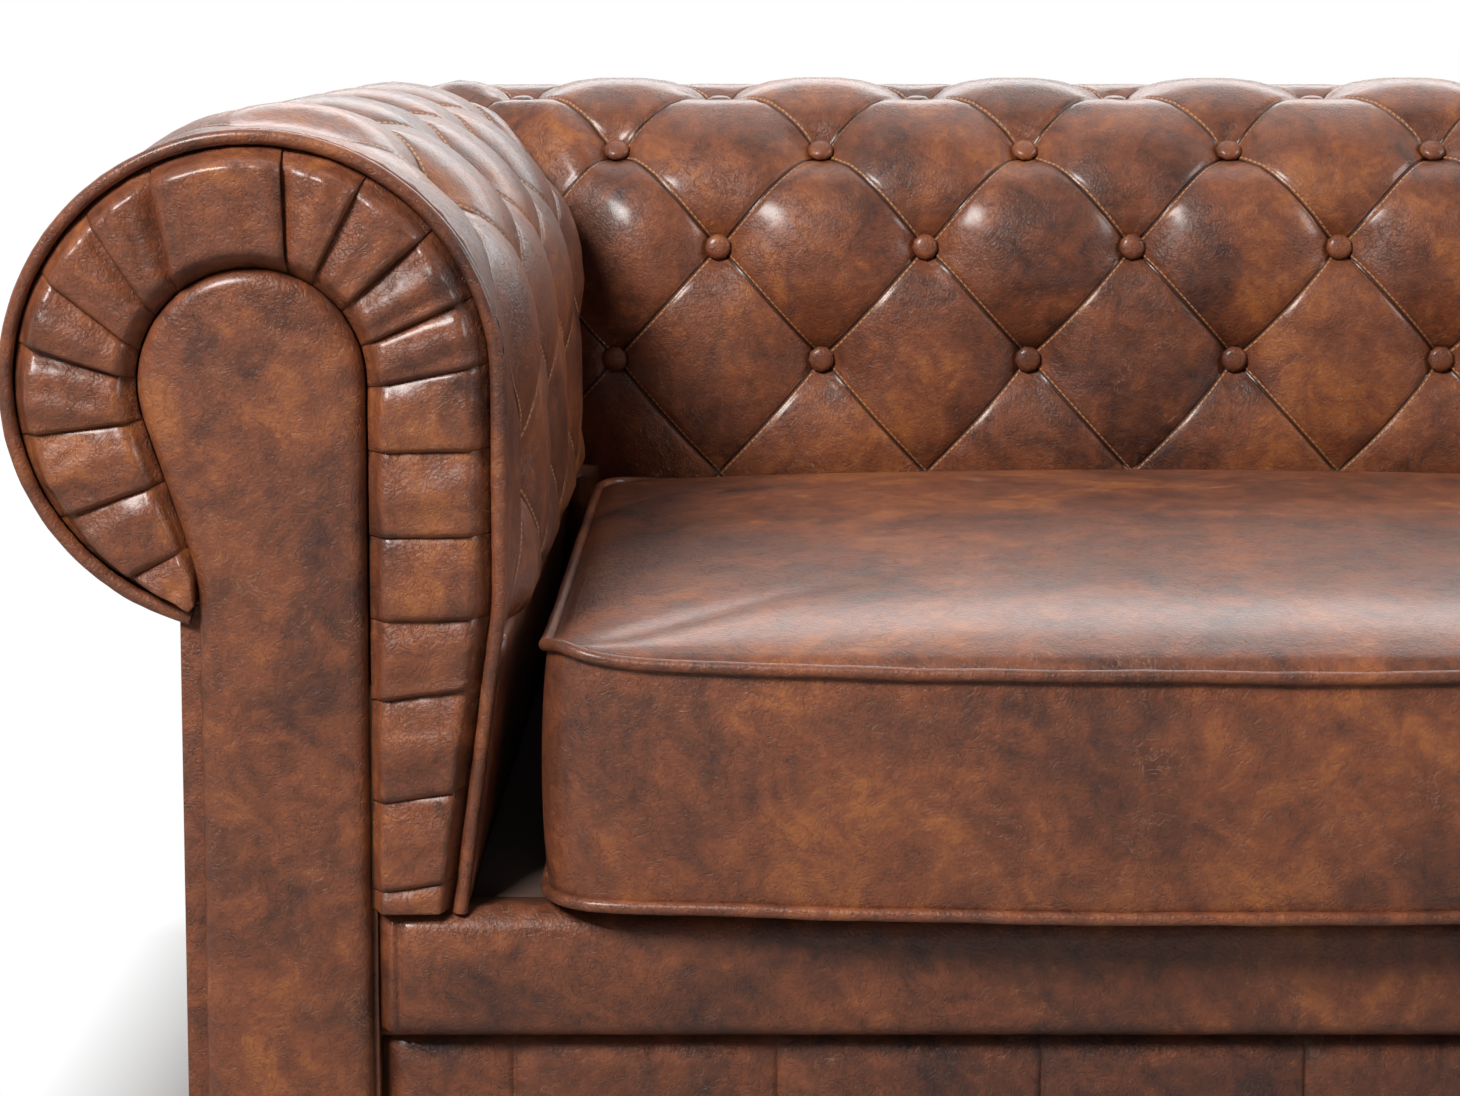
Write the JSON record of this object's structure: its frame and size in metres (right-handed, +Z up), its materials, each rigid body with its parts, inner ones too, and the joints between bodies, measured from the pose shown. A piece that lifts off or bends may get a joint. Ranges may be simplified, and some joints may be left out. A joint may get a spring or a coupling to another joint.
{
  "type": "chesterfield sofa",
  "caption": "Low-backed sofa with deep-buttoned rolled arms and back, pleated arm fronts, and two loose piped seat cushions in brown leather.",
  "frame": {"origin": "on the floor, under the middle of the sofa's box", "axes": "+X along the sofa's length, +Y from the seat's front to the back, +Z up"},
  "size_m": [2.084, 0.8719, 0.7202],
  "materials": {
    "leather": "glossy distressed",
    "leather_padded": "glossy distressed over padding",
    "frame_timber": "sawn",
    "plywood": "plain",
    "foot_wood": "dark stained satin",
    "steel": "plain",
    "foam": "open cell",
    "black_cloth": "non-woven",
    "deck_felt": "felted",
    "glide_plastic": "matte",
    "zip_tape": "woven",
    "zip_brass": "aged"
  },
  "bodies": {
    "root": {"arm_roll_boards": "plywood", "arm_tack_rails": "frame_timber", "arm_top_rails": "frame_timber", "back_buttons": "leather", "back_formers": "plywood", "back_inner_panel": "leather", "back_outside_panel": "leather", "back_pad": "leather_padded", "back_roll_board": "plywood", "back_top_rail": "frame_timber", "base_front_panel": "leather", "base_rails": "frame_timber", "bun_feet": "foot_wood", "deck_cloth": "black_cloth", "deck_pad": "deck_felt", "dust_cover": "black_cloth", "foot_bolts": "steel", "foot_glides": "glide_plastic", "frame_posts": "frame_timber", "front_border": "leather", "front_scroll_boards": "plywood", "front_seat_rail": "frame_timber", "left_arm_buttons": "leather", "left_arm_front_panel": "leather", "left_arm_inner_panel": "leather", "left_arm_outside_panel": "leather", "left_arm_pad": "leather_padded", "left_arm_pleated_band": "leather", "left_arm_welt": "leather", "rear_scroll_boards": "plywood", "rear_seat_rail": "frame_timber", "right_arm_buttons": "leather", "right_arm_front_panel": "leather", "right_arm_inner_panel": "leather", "right_arm_outside_panel": "leather", "right_arm_pad": "leather_padded", "right_arm_pleated_band": "leather", "right_arm_welt": "leather", "seat_cross_rails": "frame_timber", "side_seat_rails": "frame_timber", "sinuous_springs": "steel", "spring_clips": "steel", "tee_nuts": "steel"},
    "left_cushion": {"left_cushion_core": "foam", "left_cushion_cover": "leather_padded", "left_cushion_piping": "leather", "left_cushion_zip": "zip_tape"},
    "left_slider": {"left_zip_slider": "zip_brass"},
    "right_cushion": {"right_cushion_core": "foam", "right_cushion_cover": "leather_padded", "right_cushion_piping": "leather", "right_cushion_zip": "zip_tape"},
    "right_slider": {"right_zip_slider": "zip_brass"}
  },
  "joints": [
    {"name": "left_cushion_lift", "type": "slide", "parent": "root", "child": "left_cushion", "axis": [0, 0, 1], "range_m": [0, 0.45]},
    {"name": "left_zip_slide", "type": "slide", "parent": "left_cushion", "child": "left_slider", "axis": [1, 0, 0], "range_m": [0, 0.34]},
    {"name": "right_cushion_lift", "type": "slide", "parent": "root", "child": "right_cushion", "axis": [0, 0, 1], "range_m": [0, 0.45]},
    {"name": "right_zip_slide", "type": "slide", "parent": "right_cushion", "child": "right_slider", "axis": [1, 0, 0], "range_m": [0, 0.34]}
  ]
}
